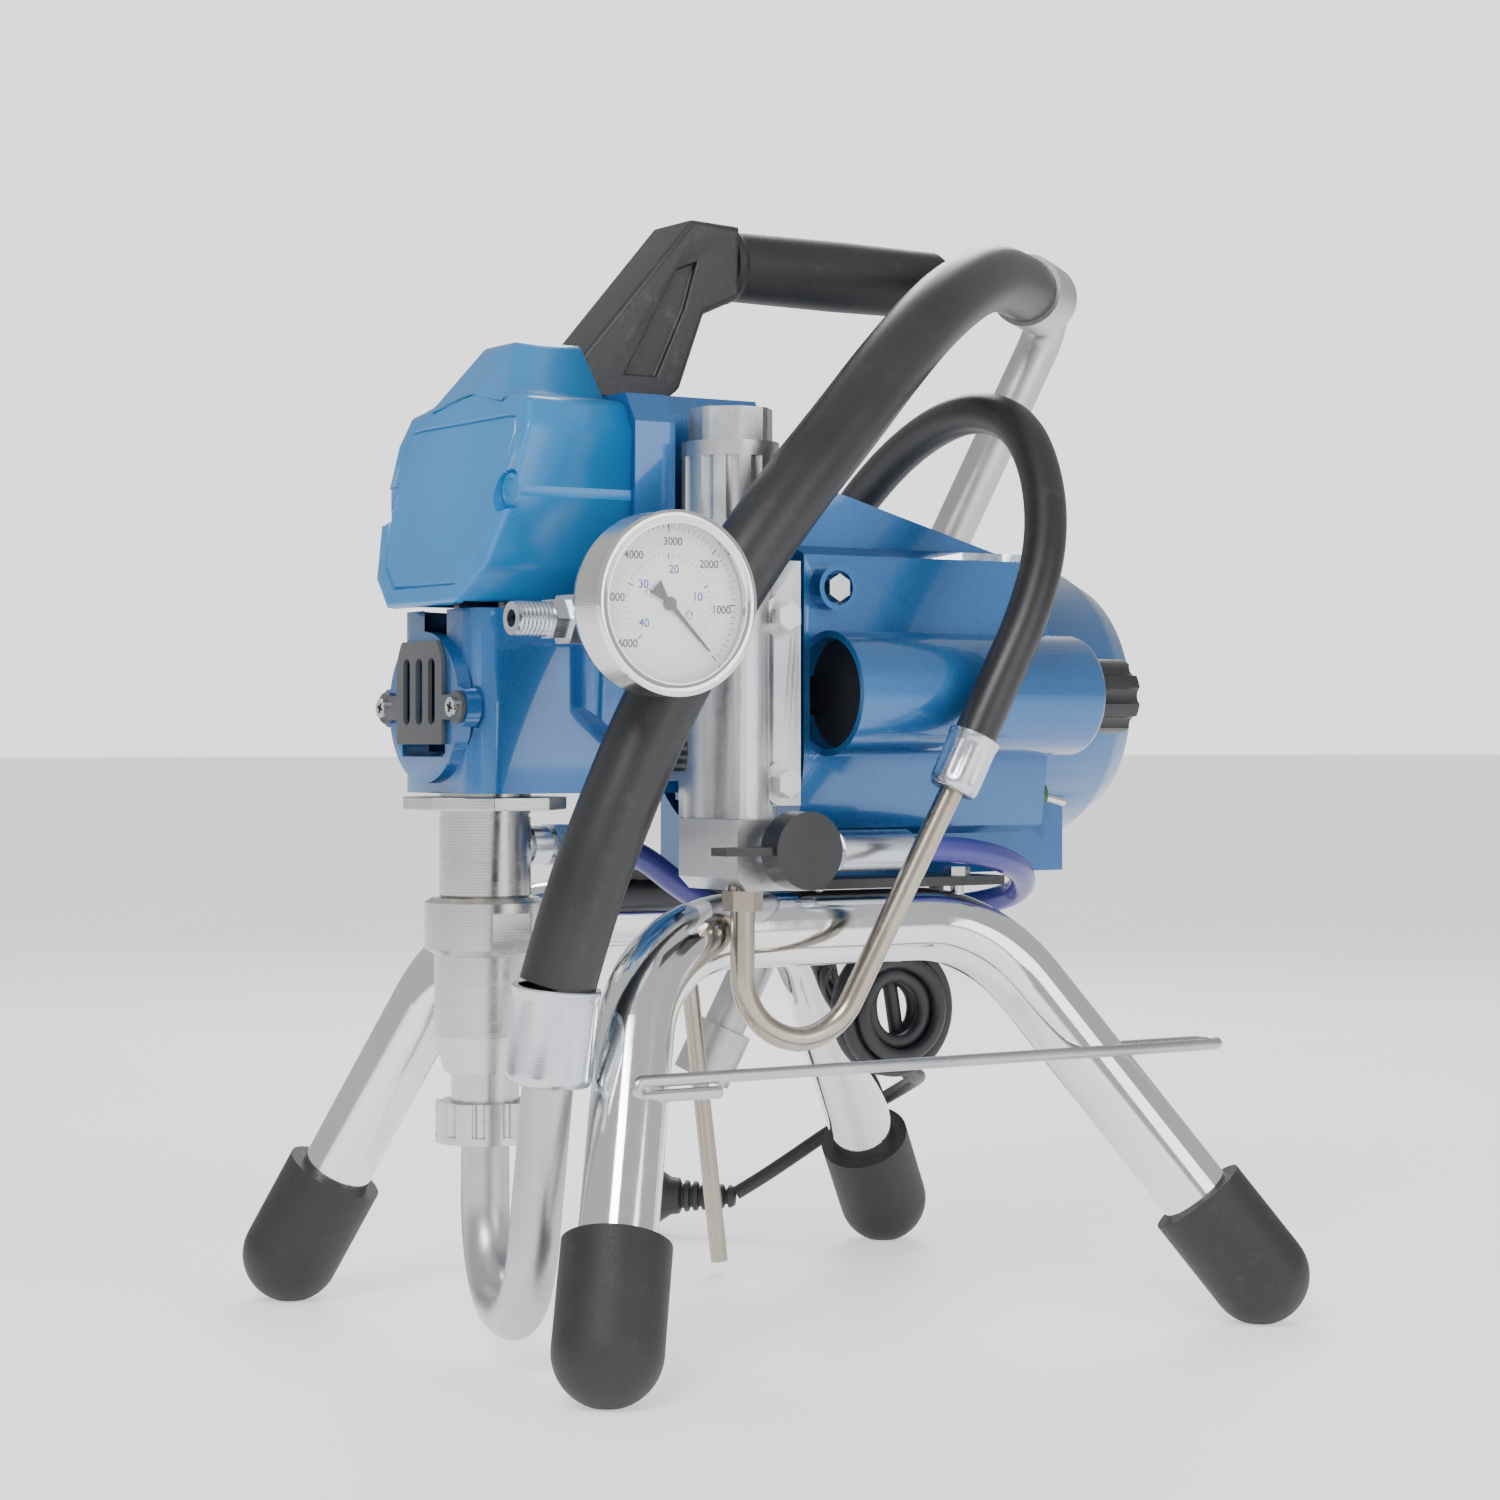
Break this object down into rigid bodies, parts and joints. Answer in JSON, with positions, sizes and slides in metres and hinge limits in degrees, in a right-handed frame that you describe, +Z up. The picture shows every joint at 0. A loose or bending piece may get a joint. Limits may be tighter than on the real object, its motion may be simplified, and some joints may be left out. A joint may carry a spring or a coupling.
{
  "type": "airless paint sprayer",
  "caption": "Portable electric airless paint sprayer on a bent tube stand, with a piston pump, fluid manifold, pressure gauge, suction and drain hoses.",
  "frame": {"origin": "centre of the stand's footprint on the floor, without the free hoses and cord", "axes": "+Z up, +Y from the pump at the front to the motor's rear, +X towards the manifold and gauge side"},
  "size_m": [0.4079, 0.3853, 0.476],
  "materials": {
    "chrome_tube": "polished chrome plate",
    "rack_wire": "zinc-plated wire",
    "base_paint": "black powder coat",
    "rubber": "matte moulded rubber",
    "blue_paint": "glossy metallic blue paint",
    "blue_cover": "semi-gloss blue moulding",
    "grey_guard": "dark grey textured moulding",
    "bright_screws": "bright zinc plate",
    "gear_steel": "hardened ground steel",
    "pump_steel": "machined stainless steel",
    "ball_steel": "polished hardened steel",
    "motor_iron": "dull sheet steel",
    "carbon": "graphite",
    "black_plastic": "satin black moulding",
    "board": "green circuit board",
    "switch_metal": "bright plated steel",
    "cast_alloy": "bright cast and machined",
    "screen": "stainless mesh",
    "fitting_zinc": "bluish zinc plate",
    "tube_alloy": "dull aluminium",
    "tube_nickel": "brownish nickel plate",
    "black_hose": "smooth rubber hose",
    "blue_hose": "blue-violet hose jacket",
    "gauge_steel": "brushed case, polished bezel",
    "dial": "pale printed dial",
    "lens": "clear",
    "pointer": "black",
    "cord_rubber": "dark rubber jacket"
  },
  "bodies": {
    "sprayer": {"brushes": "carbon", "control_end_plug": "black_plastic", "cord_gland": "black_plastic", "crimp_ferrules": "fitting_zinc", "cross_screws": "bright_screws", "drain_hose": "black_hose", "drain_return_tube": "tube_nickel", "drain_steel_tube": "tube_nickel", "drive_housing": "blue_paint", "filter_cap": "cast_alloy", "filter_screen": "screen", "fluid_hose": "blue_hose", "frame_tube_far": "chrome_tube", "frame_tube_near": "chrome_tube", "front_cover": "blue_cover", "gauge_case": "gauge_steel", "gauge_dial": "dial", "gauge_lens": "lens", "gear_bearing_bracket": "gear_steel", "handle_bracket": "base_paint", "handle_grip": "rubber", "hex_bolts": "bright_screws", "hose_fittings": "fitting_zinc", "intake_housing": "pump_steel", "intake_seat_and_cage": "pump_steel", "label_plate": "black_plastic", "mains_plug": "cord_rubber", "manifold_body": "cast_alloy", "motor_base": "base_paint", "motor_bearing_plates": "gear_steel", "motor_cover": "blue_paint", "motor_field": "motor_iron", "outlet_tee": "fitting_zinc", "power_cord": "cord_rubber", "power_cord_coil": "cord_rubber", "prime_valve_body": "fitting_zinc", "pump_cylinder": "pump_steel", "pump_lock_ring": "pump_steel", "pump_packing": "pump_steel", "rod_grille": "grey_guard", "rubber_feet": "rubber", "speed_control": "board", "suction_hose": "black_hose", "suction_tube": "tube_alloy", "suction_u_tube": "tube_alloy", "suction_union_nut": "pump_steel", "tool_rack": "rack_wire"},
    "crankshaft": {"crankshaft_gear": "gear_steel"},
    "reduction": {"reduction_gear": "gear_steel"},
    "armature": {"armature_shaft": "gear_steel", "armature_core": "motor_iron", "cooling_fan": "black_plastic"},
    "pump_rod": {"crank_yoke": "gear_steel", "displacement_rod": "pump_steel"},
    "piston_check_ball": {"piston_ball": "ball_steel"},
    "intake_check_ball": {"intake_ball": "ball_steel"},
    "knob": {"pressure_knob": "black_plastic"},
    "switch_lever": {"power_switch": "switch_metal"},
    "valve_lever": {"prime_lever": "black_plastic"},
    "pointer": {"gauge_pointer": "pointer"}
  },
  "joints": [
    {"name": "crank_spin", "type": "hinge", "parent": "sprayer", "child": "crankshaft", "pos_m": [0, -0.1035, 0.328], "axis": [0, 1, 0], "continuous": true},
    {"name": "reduction_spin", "type": "hinge", "parent": "sprayer", "child": "reduction", "pos_m": [-0.0249, -0.0635, 0.29234], "axis": [0, 1, 0], "continuous": true},
    {"name": "armature_spin", "type": "hinge", "parent": "sprayer", "child": "armature", "pos_m": [0, 0.0165, 0.266], "axis": [0, 1, 0], "continuous": true},
    {"name": "rod_slide", "type": "slide", "parent": "sprayer", "child": "pump_rod", "axis": [0, 0, 1], "range_m": [-0.01, 0.01]},
    {"name": "intake_ball_lift", "type": "slide", "parent": "sprayer", "child": "intake_check_ball", "axis": [0, 0, 1], "range_m": [0, 0.003]},
    {"name": "piston_ball_lift", "type": "slide", "parent": "pump_rod", "child": "piston_check_ball", "axis": [0, 0, 1], "range_m": [0, 0.003]},
    {"name": "pressure_knob_turn", "type": "hinge", "parent": "sprayer", "child": "knob", "pos_m": [0.08, 0.1065, 0.268], "axis": [0, 1, 0], "range_deg": [0, 270]},
    {"name": "prime_lever_turn", "type": "hinge", "parent": "sprayer", "child": "valve_lever", "pos_m": [0.104, -0.0615, 0.205], "axis": [1, 0, 0], "range_deg": [0, 90]},
    {"name": "gauge_pointer_turn", "type": "hinge", "parent": "sprayer", "child": "pointer", "pos_m": [0.139, -0.1355, 0.3], "axis": [1, 0, 0], "range_deg": [0, 270]},
    {"name": "power_switch_tilt", "type": "hinge", "parent": "sprayer", "child": "switch_lever", "pos_m": [0.057, 0.1045, 0.225], "axis": [1, 0, 0], "range_deg": [0, 24]}
  ],
  "couplings": [
    {"joint": "reduction_spin", "follows": "crank_spin", "ratio": -3.1429},
    {"joint": "armature_spin", "follows": "crank_spin", "ratio": 12.048}
  ]
}
